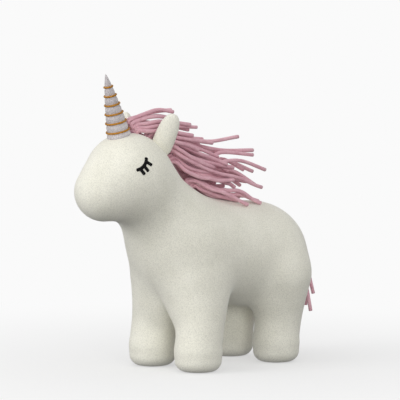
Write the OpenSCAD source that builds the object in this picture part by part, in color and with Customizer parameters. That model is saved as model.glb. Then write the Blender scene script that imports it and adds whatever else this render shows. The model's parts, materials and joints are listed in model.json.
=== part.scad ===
// Plush unicorn, a stuffed toy that stands on four soft legs.
// The toy faces -Y, its own left side is +X and it stands on the plane z = 0.
// Lengths along the body are measured from the body datum; body_shift then
// centres the whole toy over the origin.

/* [Body] */
// Radius of the chest
chest_r = 63; // [61:1:65]
// Radius of the rump
rump_r = 60; // [58:1:62]
// Chest centre, forward of the body datum
chest_fwd = 48; // [46:1:50]
// Rump centre, behind the body datum
rump_back = 64; // [60:1:66]
// Height of the chest centre
chest_z = 136; // [134:1:138]
// Height of the rump centre
rump_z = 134; // [132:1:136]
// Height of the belly above the ground
belly_z = 71; // [68:1:76]
// Radius of each shoulder
shoulder_r = 37; // [34:1:38]
// Radius of each haunch
haunch_r = 41; // [38:1:42]
// Radius of the neck
neck_r = 46; // [44:1:47]

/* [Head] */
// Radius of the back of the head
skull_r = 50; // [47:1:52]
// Radius of the muzzle
muzzle_r = 34; // [31:1:37]
// Skull centre, forward of the body datum
skull_fwd = 137; // [134:1:140]
// Height of the skull centre
skull_z = 229; // [226:1:232]
// Muzzle centre, forward of the skull centre
muzzle_fwd = 37; // [32:1:42]
// Muzzle centre, below the skull centre
muzzle_drop = 16; // [12:1:20]

/* [Legs] */
// Radius of each leg
leg_r = 28; // [26:1:29]
// Sideways distance from the middle to each leg
leg_x = 39; // [37:1:42]
// Front legs, forward of the body datum
front_leg_fwd = 62; // [58:1:66]
// Rear legs, behind the body datum
rear_leg_back = 68; // [64:1:72]
// Height of the shoulders and hips
hip_z = 84; // [82:1:88]
// Radius of the rounded edge around each foot
foot_round = 12; // [8:1:14]

/* [Ears] */
// Radius of the ear's rounded edge
ear_edge_r = 6.5; // [5.5:0.5:7]
// Length of the ear above its seam
ear_len = 42; // [36:1:44]
// Half width of the ear between edge centres
ear_half_w = 7; // [5:1:8]

/* [Horn] */
// Length of the horn
horn_len = 74; // [64:1:80]
// Radius of the horn at its base
horn_r = 13.6; // [12.6:0.2:14.6]
// Forward lean of the horn in degrees
horn_lean = 16; // [12:1:20]
// Thickness of the gold cord
cord_d = 2.2; // [1.6:0.2:2.4]
// Distance between two turns of the cord
ring_pitch = 10.5; // [9:0.5:11]

/* [Mane and tail] */
// Radius of the rounded edge of a lock of yarn
lock_r = 6; // [5:0.5:7]
// Half width of the mane over the back
mane_half_w = 26; // [20:1:30]
// Height of the tail's knot
tail_z = 150; // [146:1:154]
// Length of the tail below its knot
tail_len = 92; // [80:1:96]

/* [Fabric] */
// Thickness of the felt cover
felt_t = 2; // [1.5:0.1:2.5]
// Gap between the cover and the stuffing
fill_gap = 0.4; // [0.3:0.05:0.6]
// Gap around a soft part that flexes
flex_gap = 0.4; // [0.3:0.05:0.6]

/* [Hidden] */

// Colours
cream = "#dedccf";
fill_white = "#f4f3ee";
lilac_grey = "#bdb9bf";
gold = "#be8a2e";
mauve = "#cd96aa";
deep_mauve = "#a06a80";
black = "#1c1b1c";

// Finish of the curves
body_fn = 28;
round_fn = 48;
far = 400;

// Places along the body, with +Y towards the tail
body_shift = 30;
chest_c = [0, body_shift - chest_fwd, chest_z];
rump_c = [0, body_shift + rump_back, rump_z];
skull_c = [0, body_shift - skull_fwd, skull_z];
muzzle_c = skull_c + [0, -muzzle_fwd, -muzzle_drop];
front_leg_y = body_shift - front_leg_fwd;
rear_leg_y = body_shift + rear_leg_back;

// The neck's ball and the seam plane through its centre
neck_c = [0, body_shift - 96, 200];
neck_lean = 33;
neck_ball_r = 36;
neck_flex = 10.5;

// Ears: where the seam lies on the skull, how it runs and where the ear points
ear_out = [0.448, 0.622, 0.642];
ear_seam_dir = [0.380, 0.580, -0.720];
ear_dir = [0.444, 0.087, 0.892];
ear_seam_half = 6;
ear_sink = 1;
ear_c = skull_c + (skull_r - ear_sink) * ear_out;

// Horn
horn_lift = -0.5;
horn_dir = [0, -sin(horn_lean), cos(horn_lean)];
horn_c = skull_c + (skull_r + horn_lift) * horn_dir;
horn_power = 0.72;
horn_steps = 14;
ring_first = 6.3;
ring_gap = 0.06;

// Eyes: turned to the side from straight ahead, up from level, and the lid's slope
eye_side = 70;
eye_up = 16.5;
eye_slope = 47;
eye_stroke = 4.2;
eye_raise = 0.45;
thread_t = 0.9;

// Tail
knot_r = 7.5;
tab_t = 1.2;
tab_gap = 0.2;
tail_up = asin((tail_z - rump_z) / rump_r);
tail_out = [0, cos(tail_up), sin(tail_up)];
tail_c = rump_c + (rump_r + tab_gap + tab_t + flex_gap + knot_r) * tail_out;

// Tape that the yarn is sewn to
tape_half_w = 4;
tape_t = 1.2;
tape_gap = 0.4;

// Back line of the neck: the tangent from the neck's ball to the chest
neck_to_chest = chest_c - neck_c;
neck_line_tilt = acos((neck_r - chest_r) / norm(neck_to_chest));
neck_axis_drop = atan2(-neck_to_chest[2], neck_to_chest[1]);
neck_out = [0, cos(neck_line_tilt - neck_axis_drop), sin(neck_line_tilt - neck_axis_drop)];
neck_line_top = neck_c + neck_r * neck_out;
neck_line_foot = chest_c + chest_r * neck_out;

// ---------- helpers ----------
module ball(c, r) {
    translate(c) sphere(r = r, $fn = body_fn);
}

// A coarser ball for small soft shapes
module soft_ball(c, r) {
    translate(c) sphere(r = r, $fn = 18);
}

module both_sides() {
    children();
    mirror([1, 0, 0]) children();
}

// Everything on the head's side of a cone that opens from the neck's centre
module above_neck_seam(angle) {
    translate(neck_c) rotate([neck_lean, 0, 0])
        rotate_extrude($fn = round_fn)
            polygon([[0, 0], [far, far * tan(angle)], [far, far], [0, far]]);
}

// ---------- leg ----------
module leg_outline(inset) {
    intersection() {
        union() {
            translate([0, hip_z]) circle(r = leg_r - inset, $fn = round_fn);
            translate([0, foot_round]) square([leg_r - inset, hip_z - foot_round]);
            translate([leg_r - foot_round, foot_round]) circle(r = foot_round - inset, $fn = round_fn);
            translate([0, inset]) square([leg_r - foot_round, foot_round]);
        }
        square([far, far]);
    }
}

module leg_at(side, y) {
    translate([side * leg_x, y, 0]) children();
}

module leg_cover() {
    rotate_extrude($fn = round_fn) difference() {
        leg_outline(0);
        leg_outline(felt_t);
        square([leg_r - foot_round, foot_round]);
    }
}

module leg_stuffing() {
    rotate_extrude($fn = round_fn) leg_outline(felt_t + fill_gap);
}

module sole() {
    cylinder(h = felt_t, r = leg_r - foot_round - 0.1, $fn = round_fn);
}

// The room that a leg needs in the body as it swings, widening downwards
module leg_room() {
    lean = 13;
    reach = leg_r + flex_gap;
    rise = reach * sin(lean);
    depth = hip_z - belly_z + 12;
    narrow = reach * cos(lean);
    translate([0, 0, hip_z]) sphere(r = reach, $fn = round_fn);
    translate([0, 0, hip_z - depth])
        cylinder(h = depth + rise, r1 = narrow + (depth + rise) * tan(lean), r2 = narrow, $fn = round_fn);
}

module all_leg_room() {
    both_sides() {
        leg_at(1, front_leg_y) leg_room();
        leg_at(1, rear_leg_y) leg_room();
    }
}

// ---------- body ----------
module body_shape(inset) {
    hull() {
        ball(chest_c, chest_r - inset);
        ball(rump_c, rump_r - inset);
        both_sides() {
            ball([leg_x - 3, front_leg_y + 4, 110], shoulder_r - inset);
            ball([leg_x - 2, rear_leg_y - 4, 106], haunch_r - inset);
        }
    }
    hull() {
        ball(neck_c, neck_r - inset);
        ball(chest_c, chest_r - inset);
    }
}

module neck_ball_room() {
    translate(neck_c) sphere(r = neck_ball_r + flex_gap, $fn = round_fn);
}

// The body cut off flat along the belly, with its top open to the neck
module body_blank(inset) {
    difference() {
        body_shape(inset);
        translate([-far / 2, -far / 2, belly_z + inset - far]) cube(far);
    }
}

module body_rooms() {
    above_neck_seam(0);
    all_leg_room();
    neck_ball_room();
}

module body_shell() {
    difference() {
        body_blank(0);
        body_blank(felt_t);
        body_rooms();
    }
}

// The strip of felt under the belly between the legs
module gusset_zone(inset) {
    length = rear_leg_y - front_leg_y + 40;
    translate([inset - 20, front_leg_y - 20 + inset, 0])
        cube([40 - 2 * inset, length - 2 * inset, belly_z + 16 - inset]);
}

module body_panel(side) {
    seam = 0.05;
    color(cream) intersection() {
        difference() {
            body_shell();
            gusset_zone(0);
        }
        translate([side > 0 ? seam : -far - seam, -far, -far]) cube([far, 2 * far, 2 * far]);
    }
}

module left_body_panel() { body_panel(1); }
module right_body_panel() { body_panel(-1); }

module belly_gusset() {
    color(cream) intersection() {
        body_shell();
        gusset_zone(0.1);
    }
}

module body_stuffing() {
    color(fill_white) difference() {
        body_blank(felt_t + fill_gap);
        body_rooms();
    }
}

// A firm ball of stuffing that carries the head
module neck_stuffing() {
    color(fill_white) translate(neck_c) sphere(r = neck_ball_r, $fn = round_fn);
}

// ---------- head ----------
module head_shape(inset) {
    hull() {
        ball(skull_c, skull_r - inset);
        ball(muzzle_c, muzzle_r - inset);
    }
    hull() {
        ball(skull_c, skull_r - 4 - inset);
        ball(neck_c, neck_r - inset);
    }
}

// The pocket that an ear sits in, flared towards its mouth so that the ear can fold
module ear_room() {
    flare = 2.6;
    hull() {
        for (s = [-1, 1]) {
            end = ear_c + s * ear_seam_half * ear_seam_dir;
            soft_ball(end, ear_edge_r + flex_gap);
            soft_ball(end + 3 * ear_out, ear_edge_r + flex_gap + flare);
        }
    }
}

module head_rooms() {
    neck_ball_room();
    translate(horn_c) sphere(r = horn_r + flex_gap, $fn = round_fn);
    both_sides() ear_room();
}

module head_solid(inset) {
    difference() {
        intersection() {
            head_shape(inset);
            above_neck_seam(neck_flex);
        }
        head_rooms();
    }
}

module head_panel(side) {
    seam = 0.05;
    color(cream) intersection() {
        difference() {
            head_solid(0);
            head_shape(felt_t);
        }
        translate([side > 0 ? seam : -far - seam, -far, -far]) cube([far, 2 * far, 2 * far]);
    }
}

module left_head_panel() { head_panel(1); }
module right_head_panel() { head_panel(-1); }

module head_stuffing() {
    color(fill_white) head_solid(felt_t + fill_gap);
}

// ---------- eyes ----------
// One straight satin stitch, from the origin along +X
module stitch(length) {
    translate([0, -eye_stroke / 2]) square([length, eye_stroke]);
    circle(d = eye_stroke, $fn = 24);
    translate([length, 0]) circle(d = eye_stroke, $fn = 24);
}

// A closed lid that bows downwards, with three lashes below it
module eye_pattern() {
    lid_r = 17;
    lid_half_angle = 40;
    lid_steps = 4;
    lash_len = 7.2;
    step = 2 * lid_half_angle / lid_steps;
    rotate(eye_slope) translate([0, lid_r]) {
        for (i = [0:lid_steps - 1]) rotate(-90 - lid_half_angle + i * step) translate([lid_r, 0])
            rotate(90 + step / 2) stitch(2 * lid_r * sin(step / 2));
        for (lash = [[-21, 10], [-1, -7], [18, -5]]) rotate(lash[0] - 90) translate([lid_r, 0])
            rotate(lash[1]) stitch(lash_len);
    }
}

module eye() {
    color(black) intersection() {
        difference() {
            translate(skull_c) sphere(r = skull_r + eye_raise + thread_t, $fn = round_fn);
            translate(skull_c) sphere(r = skull_r + eye_raise, $fn = round_fn);
        }
        translate(skull_c) rotate([90, 0, eye_side]) rotate([-eye_up, 0, 0])
            translate([0, 0, skull_r - 12]) linear_extrude(24) eye_pattern();
    }
}

module left_eye() { eye(); }
module right_eye() { mirror([1, 0, 0]) eye(); }

// ---------- ears ----------
module ear_shape(inset) {
    r = ear_edge_r - inset;
    middle = ear_c + 0.45 * ear_len * ear_dir;
    tip = ear_c + (ear_len - ear_edge_r) * ear_dir;
    hull() {
        for (s = [-1, 1]) {
            soft_ball(ear_c + s * ear_seam_half * ear_seam_dir, r);
            soft_ball(middle + s * ear_half_w * ear_seam_dir, r);
        }
        soft_ball(tip, r);
    }
}

module ear_cover() {
    color(cream) difference() {
        ear_shape(0);
        ear_shape(felt_t);
    }
}

module ear_stuffing() {
    color(fill_white) ear_shape(felt_t + fill_gap);
}

module left_ear_cover() { ear_cover(); }
module left_ear_stuffing() { ear_stuffing(); }
module right_ear_cover() { mirror([1, 0, 0]) ear_cover(); }
module right_ear_stuffing() { mirror([1, 0, 0]) ear_stuffing(); }

// ---------- horn ----------
// Radius of the horn at a height above its base, a slender pointed arch
function horn_radius(h) = horn_r * pow(1 - h / horn_len, horn_power);

module horn_outline(inset) {
    arch = [for (i = [0:horn_steps - 1]) let (h = horn_len * i / horn_steps)
            if (horn_radius(h) > inset + 0.5) [horn_radius(h) - inset, h]];
    top = inset > 0 ? arch[len(arch) - 1][1] + 1 : horn_len;
    polygon(concat([[0, 0]], arch, [[0, top]]));
    intersection() {
        circle(r = horn_r - inset, $fn = round_fn);
        translate([0, -far]) square([far, far]);
    }
}

module on_horn() {
    translate(horn_c) rotate([horn_lean, 0, 0]) children();
}

module horn_cover() {
    color(lilac_grey) on_horn() rotate_extrude($fn = round_fn) difference() {
        horn_outline(0);
        horn_outline(felt_t);
    }
}

module horn_stuffing() {
    color(fill_white) on_horn() rotate_extrude($fn = round_fn) horn_outline(felt_t + fill_gap);
}

module horn_ring(i) {
    h = ring_first + (i - 1) * ring_pitch;
    ring_r = horn_radius(h - cord_d / 2) + cord_d / 2 + ring_gap;
    color(gold) on_horn() translate([0, 0, h])
        rotate_extrude($fn = round_fn) translate([ring_r, 0]) circle(d = cord_d, $fn = 24);
}

// ---------- legs in place ----------
module front_left_leg_cover() { color(cream) leg_at(1, front_leg_y) leg_cover(); }
module front_left_leg_stuffing() { color(fill_white) leg_at(1, front_leg_y) leg_stuffing(); }
module front_left_sole() { color(cream) leg_at(1, front_leg_y) sole(); }
module front_right_leg_cover() { color(cream) leg_at(-1, front_leg_y) leg_cover(); }
module front_right_leg_stuffing() { color(fill_white) leg_at(-1, front_leg_y) leg_stuffing(); }
module front_right_sole() { color(cream) leg_at(-1, front_leg_y) sole(); }
module rear_left_leg_cover() { color(cream) leg_at(1, rear_leg_y) leg_cover(); }
module rear_left_leg_stuffing() { color(fill_white) leg_at(1, rear_leg_y) leg_stuffing(); }
module rear_left_sole() { color(cream) leg_at(1, rear_leg_y) sole(); }
module rear_right_leg_cover() { color(cream) leg_at(-1, rear_leg_y) leg_cover(); }
module rear_right_leg_stuffing() { color(fill_white) leg_at(-1, rear_leg_y) leg_stuffing(); }
module rear_right_sole() { color(cream) leg_at(-1, rear_leg_y) sole(); }

// ---------- mane ----------
// A place above the crest of the head, by its angle back from straight up
function above_crest(angle, height) =
    skull_c + (skull_r + tape_gap + tape_t + fill_gap + height) * [0, sin(angle), cos(angle)];

// A place above the back line of the neck, as a share of the way down it
function above_neck_line(share, height) =
    neck_line_top + share * (neck_line_foot - neck_line_top)
    + (tape_gap + tape_t + fill_gap + height) * neck_out;

// The tape that the yarn is sewn to, along the crest of the head
module crest_tape() {
    color(deep_mauve) intersection() {
        difference() {
            translate(skull_c) sphere(r = skull_r + tape_gap + tape_t, $fn = round_fn);
            translate(skull_c) sphere(r = skull_r + tape_gap, $fn = round_fn);
        }
        translate([-tape_half_w, skull_c[1] + 2, skull_z]) cube([2 * tape_half_w, 38, far]);
    }
}

module withers_tape() {
    tape_len = 34;
    color(deep_mauve) translate(neck_line_foot + tape_gap * neck_out)
        rotate([neck_line_tilt - neck_axis_drop, 0, 0])
            translate([-tape_half_w, 0, 22]) cube([2 * tape_half_w, tape_t, tape_len]);
}

// A rounded slab of yarn through stations [centre, half width, radius]
module lock(stations) {
    for (i = [0:len(stations) - 2]) hull() {
        for (s = [stations[i], stations[i + 1]], side = [-1, 1])
            translate(s[0] + [side * s[1], 0, 0]) sphere(r = s[2], $fn = 16);
    }
}

module forelock() {
    color(mauve) lock([[above_crest(8, lock_r), 4, lock_r],
                       [[0, body_shift - 100, 301], 8, lock_r],
                       [[0, body_shift - 62, 300], 16, lock_r],
                       [[0, body_shift - 34, 290], mane_half_w, lock_r - 2]]);
}

module nape_locks() {
    color(mauve) lock([[above_crest(41, lock_r), 5, lock_r],
                       [[0, body_shift - 50, 264], 20, lock_r + 1],
                       [[0, body_shift + 20, 250], mane_half_w, lock_r + 1],
                       [[0, body_shift + 70, 238], mane_half_w, lock_r - 2]]);
}

module withers_locks() {
    color(mauve) lock([[above_neck_line(0.5, lock_r - 2), 6, lock_r - 2],
                       [[0, body_shift - 5, 207], 20, lock_r - 1],
                       [[0, body_shift + 56, 205], mane_half_w, lock_r - 2]]);
}

// ---------- tail ----------
module tail_tab() {
    color(cream) translate(rump_c + (rump_r + tab_gap) * tail_out) rotate([tail_up - 90, 0, 0])
        cylinder(h = tab_t, r = 6, $fn = round_fn);
}

module tail_knot() {
    color(deep_mauve) translate(tail_c) sphere(r = knot_r, $fn = round_fn);
}

module tail_strands() {
    end_r = 6;
    color(mauve) difference() {
        hull() {
            soft_ball(tail_c + [0, 4, -8], 7);
            for (side = [-1, 1]) {
                soft_ball(tail_c + [side * 8, 6, -0.5 * tail_len], end_r + 1);
                soft_ball(tail_c + [side * 14, 12, end_r - tail_len], end_r);
            }
        }
        translate(tail_c) sphere(r = knot_r + flex_gap, $fn = round_fn);
    }
}

left_body_panel();
right_body_panel();
belly_gusset();
body_stuffing();
neck_stuffing();
left_head_panel();
right_head_panel();
head_stuffing();
left_eye();
right_eye();
left_ear_cover();
left_ear_stuffing();
right_ear_cover();
right_ear_stuffing();
horn_cover();
horn_stuffing();
horn_ring(1);  // horn_ring_1
horn_ring(2);  // horn_ring_2
horn_ring(3);  // horn_ring_3
horn_ring(4);  // horn_ring_4
horn_ring(5);  // horn_ring_5
horn_ring(6);  // horn_ring_6
front_left_leg_cover();
front_left_leg_stuffing();
front_left_sole();
front_right_leg_cover();
front_right_leg_stuffing();
front_right_sole();
rear_left_leg_cover();
rear_left_leg_stuffing();
rear_left_sole();
rear_right_leg_cover();
rear_right_leg_stuffing();
rear_right_sole();
crest_tape();
withers_tape();
forelock();
nape_locks();
withers_locks();
tail_tab();
tail_knot();
tail_strands();
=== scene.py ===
"""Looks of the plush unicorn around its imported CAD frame.

Shapes are worked out in millimetres and made in metres.
"""

import json
import math
import random

import bpy
import numpy as np
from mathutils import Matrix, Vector

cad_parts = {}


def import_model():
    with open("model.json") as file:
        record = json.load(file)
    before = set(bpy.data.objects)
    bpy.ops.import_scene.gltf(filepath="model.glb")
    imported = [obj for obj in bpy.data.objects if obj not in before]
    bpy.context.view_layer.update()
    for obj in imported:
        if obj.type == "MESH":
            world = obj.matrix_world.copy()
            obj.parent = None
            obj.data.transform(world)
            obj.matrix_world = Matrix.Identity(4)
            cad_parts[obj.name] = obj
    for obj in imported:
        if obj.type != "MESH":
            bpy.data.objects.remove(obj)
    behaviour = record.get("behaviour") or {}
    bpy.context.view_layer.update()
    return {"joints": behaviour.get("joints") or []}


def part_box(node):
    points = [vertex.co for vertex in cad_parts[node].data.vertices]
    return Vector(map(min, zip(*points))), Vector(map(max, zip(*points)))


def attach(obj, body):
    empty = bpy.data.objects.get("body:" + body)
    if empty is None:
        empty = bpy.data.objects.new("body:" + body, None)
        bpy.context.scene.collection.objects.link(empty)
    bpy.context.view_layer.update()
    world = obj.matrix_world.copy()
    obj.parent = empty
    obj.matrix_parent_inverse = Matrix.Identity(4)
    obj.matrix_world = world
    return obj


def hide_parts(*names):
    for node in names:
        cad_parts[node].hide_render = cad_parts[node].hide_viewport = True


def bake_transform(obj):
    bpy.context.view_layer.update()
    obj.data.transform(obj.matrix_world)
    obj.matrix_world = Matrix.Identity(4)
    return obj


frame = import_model()

MM = 0.001
SIDES = (("left", 1), ("right", -1))
rng = random.Random(11)


# ---------- places taken from the CAD frame, in mm ----------
def box_mm(node):
    low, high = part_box(node)
    return np.array(low) / MM, np.array(high) / MM


def middle_mm(node):
    low, high = box_mm(node)
    return (low + high) / 2


JOINT_AT = {j["name"]: np.array(j["pos_m"], float) / MM for j in frame["joints"]}
NECK = JOINT_AT["head_nod"]
NECK_LEAN = math.radians(33)
NECK_UP = np.array([0, -math.sin(NECK_LEAN), math.cos(NECK_LEAN)])
FRONT_LEG = middle_mm("front_left_sole")
REAR_LEG = middle_mm("rear_left_sole")
HORN_BASE = JOINT_AT["horn_tilt"]
EAR_BASE = JOINT_AT["left_ear_fold"]
TAIL_KNOT = middle_mm("tail_knot")
LEG_SPLIT = 56.0  # height where a leg's felt parts from the body's
NECK_BLEND = 18.0  # half of the length over which the neck bends


# ---------- the skin as a distance function, in mm ----------
# These centres, radii and blends came from an outline fit by a scratch script, as report.md says.
SKULL, SKULL_R = np.array([0, -106.8, 229.4]), 50.4
MUZZLE, MUZZLE_R = np.array([0, -143.8, 213.4]), 34.2
NAPE, NAPE_R = np.array([0, -74.0, 203.2]), 42.3
CHEST, CHEST_R = np.array([0, -22.7, 144.1]), 55.7
RUMP, RUMP_R = np.array([0, 93.7, 127.0]), 64.8
BODY_WIDTH = 1.1
BELLY_Z = 61.6
SHOULDER, SHOULDER_R = np.array([21.7, -21.9, 106.3]), 45.0
THIGH, THIGH_R = np.array([40.0, 99.1, 105.5]), 40.8
KNEE_Z, KNEE_R = 45.6, 24.9
LEG_R, LEG_TOP_R, LEG_TOP_Z = 27.8, 24.3, 100.0
LEG_LEAN = np.array([-1.0, 9.6, 0])
FOOT_R, FOOT_EDGE, FOOT_TOP = 27.6, 13.0, 34.0
BACK_BLEND, BELLY_BLEND, LIMB_BLEND, LEG_BLEND, FOOT_BLEND, HEAD_BLEND = 40, 14, 18, 8, 6, 33
KNEE_BACK = 4
FLAT, UPWARD = np.array([1, 1, 0]), np.array([0, 0, 1])


def smooth_min(a, b, k):
    h = np.maximum(k - np.abs(a - b), 0) / k
    return np.minimum(a, b) - h**3 * k / 6


def smooth_max(a, b, k):
    return -smooth_min(-a, -b, k)


def round_cone(p, a, b, ra, rb):
    """Distance to the hull of two balls."""
    ba = b - a
    long2, dr = ba @ ba, ra - rb
    slope2 = max(long2 - dr * dr, 1e-6)
    pa = p - a
    y = pa @ ba
    z = y - long2
    x2 = ((pa * long2 - y[..., None] * ba) ** 2).sum(-1)
    y2, z2 = y * y * long2, z * z * long2
    k = np.sign(dr) * dr * dr * x2
    d = (np.sqrt(x2 * slope2 / long2) + y * dr) / long2 - ra
    d = np.where(np.sign(y) * slope2 * y2 < k, np.sqrt(x2 + y2) / long2 - ra, d)
    return np.where(np.sign(z) * slope2 * z2 > k, np.sqrt(x2 + z2) / long2 - rb, d)


def leg_distance(q, at):
    top = at * FLAT + LEG_LEAN + LEG_TOP_Z * UPWARD
    column = round_cone(q, top, at * FLAT + LEG_R * UPWARD, LEG_TOP_R, LEG_R)
    out = np.hypot(q[..., 0] - at[0], q[..., 1] - at[1]) - (FOOT_R - FOOT_EDGE)
    up = np.abs(q[..., 2] - FOOT_TOP / 2) - (FOOT_TOP / 2 - FOOT_EDGE)
    post = np.minimum(np.maximum(out, up), 0) + np.hypot(np.maximum(out, 0), np.maximum(up, 0))
    return smooth_min(column, post - FOOT_EDGE, FOOT_BLEND)


def skin(p):
    """Distance from points in mm to the outside of the felt skin."""
    q = np.abs(p) * [1, 0, 0] + p * [0, 1, 1]
    wide = p * [1 / BODY_WIDTH, 1, 1]
    neck = round_cone(p, NAPE, CHEST, NAPE_R, CHEST_R)
    back = round_cone(wide, CHEST, RUMP, CHEST_R, RUMP_R)
    d = smooth_min(neck, back, BACK_BLEND)
    d = smooth_max(d, BELLY_Z - p[..., 2], BELLY_BLEND)
    front_knee, rear_knee = (at * FLAT + [0, KNEE_BACK, KNEE_Z] for at in (FRONT_LEG, REAR_LEG))
    shoulder = round_cone(q, SHOULDER, front_knee, SHOULDER_R, KNEE_R)
    thigh = round_cone(q, THIGH, rear_knee, THIGH_R, KNEE_R)
    d = smooth_min(d, np.minimum(shoulder, thigh), LIMB_BLEND)
    d = smooth_min(d, np.minimum(leg_distance(q, FRONT_LEG), leg_distance(q, REAR_LEG)), LEG_BLEND)
    return smooth_min(d, round_cone(p, SKULL, MUZZLE, SKULL_R, MUZZLE_R), HEAD_BLEND)


def normals(p, field=skin, e=0.5):
    n = np.stack([field(p + e * a) - field(p - e * a) for a in np.eye(3)], -1)
    return n / np.maximum(np.linalg.norm(n, axis=-1, keepdims=True), 1e-9)


def settle(p, height=0.0, field=skin, turns=5):
    """Points moved to that height above the skin."""
    for _ in range(turns):
        p = p - (field(p) - height)[..., None] * normals(p, field)
    return p


# ---------- mesh helpers ----------
def add_mesh(name, verts_mm, faces, material):
    mesh = bpy.data.meshes.new(name)
    verts = [tuple(v) for v in np.asarray(verts_mm, float) * MM]
    mesh.from_pydata(verts, [], [tuple(map(int, f)) for f in faces])
    mesh.validate()
    mesh.shade_smooth()
    obj = bpy.data.objects.new(name, mesh)
    bpy.context.scene.collection.objects.link(obj)
    obj.data.materials.append(material)
    rest = mesh.attributes.new("rest", "FLOAT_VECTOR", "POINT")
    rest.data.foreach_set("vector", np.asarray(verts_mm, np.float32).ravel())
    return obj


def surface_net(field, low, high, step):
    """Vertices and outward quads of a field's zero surface on a grid."""
    counts = [int(math.ceil((h - l) / step)) + 1 for l, h in zip(low, high)]
    axes = [l + step * np.arange(n) for l, n in zip(low, counts)]
    values = np.empty(counts, np.float32)
    for i, x in enumerate(axes[0]):
        yy, zz = np.meshgrid(axes[1], axes[2], indexing="ij")
        values[i] = field(np.stack([np.full_like(yy, x), yy, zz], -1))
    inside = values < 0
    corners = [(i, j, k) for i in (0, 1) for j in (0, 1) for k in (0, 1)]
    cells = [n - 1 for n in counts]

    def shifted(a, c):
        return a[c[0] : c[0] + cells[0], c[1] : c[1] + cells[1], c[2] : c[2] + cells[2]]

    hits = sum(shifted(inside, c).astype(np.int8) for c in corners)
    index = np.argwhere((hits > 0) & (hits < 8))
    number = np.full(cells, -1, np.int64)
    number[tuple(index.T)] = np.arange(len(index))
    total, count = np.zeros((len(index), 3)), np.zeros(len(index))
    for a in corners:
        for axis in range(3):
            if a[axis]:
                continue
            b = list(a)
            b[axis] = 1
            va = values[tuple((index + a).T)]
            vb = values[tuple((index + b).T)]
            cross = (va < 0) != (vb < 0)
            t = np.where(cross, va / np.where(cross, va - vb, 1), 0)
            point = np.tile(np.array(a, float), (len(index), 1))
            point[:, axis] = t
            total += point * cross[:, None]
            count += cross
    verts = (index + total / count[:, None]) * step + np.array(low)
    faces = []
    for axis in range(3):
        u, v = (axis + 1) % 3, (axis + 2) % 3
        sl_a, sl_b = [slice(None)] * 3, [slice(None)] * 3
        sl_a[axis], sl_b[axis] = slice(0, -1), slice(1, None)
        flips = inside[tuple(sl_a)] != inside[tuple(sl_b)]
        at = np.argwhere(flips)
        at = at[(at[:, u] > 0) & (at[:, v] > 0) & (at[:, u] < cells[u]) & (at[:, v] < cells[v])]
        out = inside[tuple(at.T)]
        ring = []
        for du, dv in ((1, 1), (0, 1), (0, 0), (1, 0)):
            cell = at.copy()
            cell[:, u] -= du
            cell[:, v] -= dv
            ring.append(number[tuple(cell.T)])
        ring = np.stack(ring, -1)
        ring[~out] = ring[~out][:, ::-1]
        faces.append(ring)
    return verts, np.concatenate(faces)


def relax(verts, faces, field, turns=4):
    """Evens out the spacing of the vertices and keeps them on the surface."""
    edges = np.concatenate([faces[:, [i, (i + 1) % 4]] for i in range(4)])
    for _ in range(turns):
        total, count = np.zeros_like(verts), np.zeros(len(verts))
        np.add.at(total, edges[:, 0], verts[edges[:, 1]])
        np.add.at(count, edges[:, 0], 1)
        verts = settle(0.4 * verts + 0.6 * total / count[:, None], 0, field, 2)
    return verts


def used(verts, faces):
    keep = np.unique(faces)
    new = np.full(len(verts), -1)
    new[keep] = np.arange(len(keep))
    return keep, new[faces]


def felt_piece(name, verts, outward, faces, thickness, material):
    """A sheet of felt with that outer surface, closed by an inner surface and a rim."""
    keep, quads = used(verts, faces)
    outer, n = verts[keep], outward[keep]
    inner = outer - thickness * n
    count = len(outer)
    sides = {}
    for q in quads:
        for i in range(4):
            sides[(int(q[i]), int(q[(i + 1) % 4]))] = True
    rim = [(b, a, a + count, b + count) for a, b in sides if (b, a) not in sides]
    inside = [tuple(int(v) + count for v in q[::-1]) for q in quads]
    all_faces = [tuple(q) for q in quads] + inside + rim
    obj = add_mesh(name, np.concatenate([outer, inner]), all_faces, material)
    obj.data.normals_split_custom_set_from_vertices([tuple(v) for v in np.concatenate([n, -n])])
    return obj


def turn_angles(count):
    return np.arange(count) * 2 * math.pi / count


def band_faces(levels, turns):
    """Quads between rings of vertices that are stacked one after another."""
    faces = []
    for i in range(levels - 1):
        for s in range(turns):
            a, b = i * turns + s, i * turns + (s + 1) % turns
            faces.append((a, b, b + turns, a + turns))
    return faces


def capped_faces(levels, turns):
    """The same with both ends closed by a fan round the two vertices that follow the rings."""
    low, high, last = levels * turns, levels * turns + 1, (levels - 1) * turns
    faces = band_faces(levels, turns)
    faces += [(low, (s + 1) % turns, s) for s in range(turns)]
    faces += [(high, last + s, last + (s + 1) % turns) for s in range(turns)]
    return faces


def turned_out(faces):
    return [face[::-1] for face in faces]


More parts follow.
